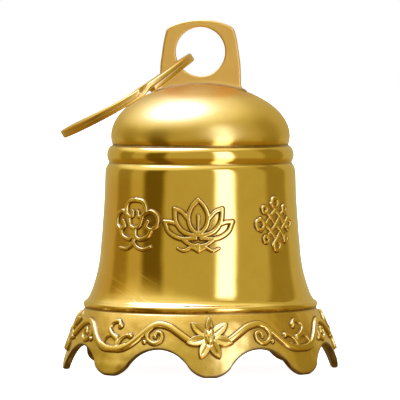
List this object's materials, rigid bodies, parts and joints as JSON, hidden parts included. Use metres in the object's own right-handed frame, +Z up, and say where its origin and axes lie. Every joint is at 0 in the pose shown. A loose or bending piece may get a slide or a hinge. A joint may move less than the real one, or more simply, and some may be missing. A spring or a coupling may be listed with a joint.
{
  "type": "temple bell",
  "caption": "Small cast brass temple bell with a lobed rim, raised lotus and vine ornament, a lug with a split ring, and a clapper hung inside.",
  "frame": {"origin": "on the bell's axis, in the plane of the rim's lobe tips it stands on", "axes": "+Z up the bell's axis, -Y out of the front (the lug's flat face), +X to the right; the split ring leans to -X"},
  "size_m": [0.064, 0.0636, 0.0803],
  "materials": {
    "cast_brass": "polished, tarnished in the recesses",
    "ring_metal": "bright plated",
    "clapper_brass": "dull",
    "link_wire": "drawn wire"
  },
  "bodies": {
    "bell": {"bell_shell": "cast_brass", "hanging_lug": "cast_brass", "clapper_staple": "cast_brass", "lotus_medallion_1": "cast_brass", "lotus_medallion_2": "cast_brass", "knot_medallion_1": "cast_brass", "knot_medallion_2": "cast_brass", "cloud_medallion_1": "cast_brass", "cloud_medallion_2": "cast_brass", "skirt_flower_1": "cast_brass", "skirt_flower_2": "cast_brass", "skirt_flower_3": "cast_brass", "skirt_flower_4": "cast_brass", "skirt_trefoil_1": "cast_brass", "skirt_trefoil_2": "cast_brass", "skirt_trefoil_3": "cast_brass", "skirt_trefoil_4": "cast_brass", "vine_scroll_1": "cast_brass", "vine_scroll_2": "cast_brass", "vine_scroll_3": "cast_brass", "vine_scroll_4": "cast_brass", "vine_scroll_5": "cast_brass", "vine_scroll_6": "cast_brass", "vine_scroll_7": "cast_brass", "vine_scroll_8": "cast_brass"},
    "ring": {"split_ring": "ring_metal"},
    "link": {"clapper_link": "link_wire"},
    "clapper": {"clapper_rod": "clapper_brass", "clapper_ball": "clapper_brass", "clapper_rivet": "clapper_brass"}
  },
  "joints": [
    {"name": "ring_swing", "type": "hinge", "parent": "bell", "child": "ring", "pos_m": [0, 0, 0.07296], "axis": [0, 1, 0], "range_deg": [-9, 257]},
    {"name": "link_swing", "type": "hinge", "parent": "bell", "child": "link", "pos_m": [0, 0, 0.0593], "axis": [1, 0, 0], "range_deg": [-6, 6]},
    {"name": "clapper_swing", "type": "hinge", "parent": "link", "child": "clapper", "pos_m": [0, 0, 0.05526], "axis": [0, 1, 0], "range_deg": [-25, 25]}
  ]
}
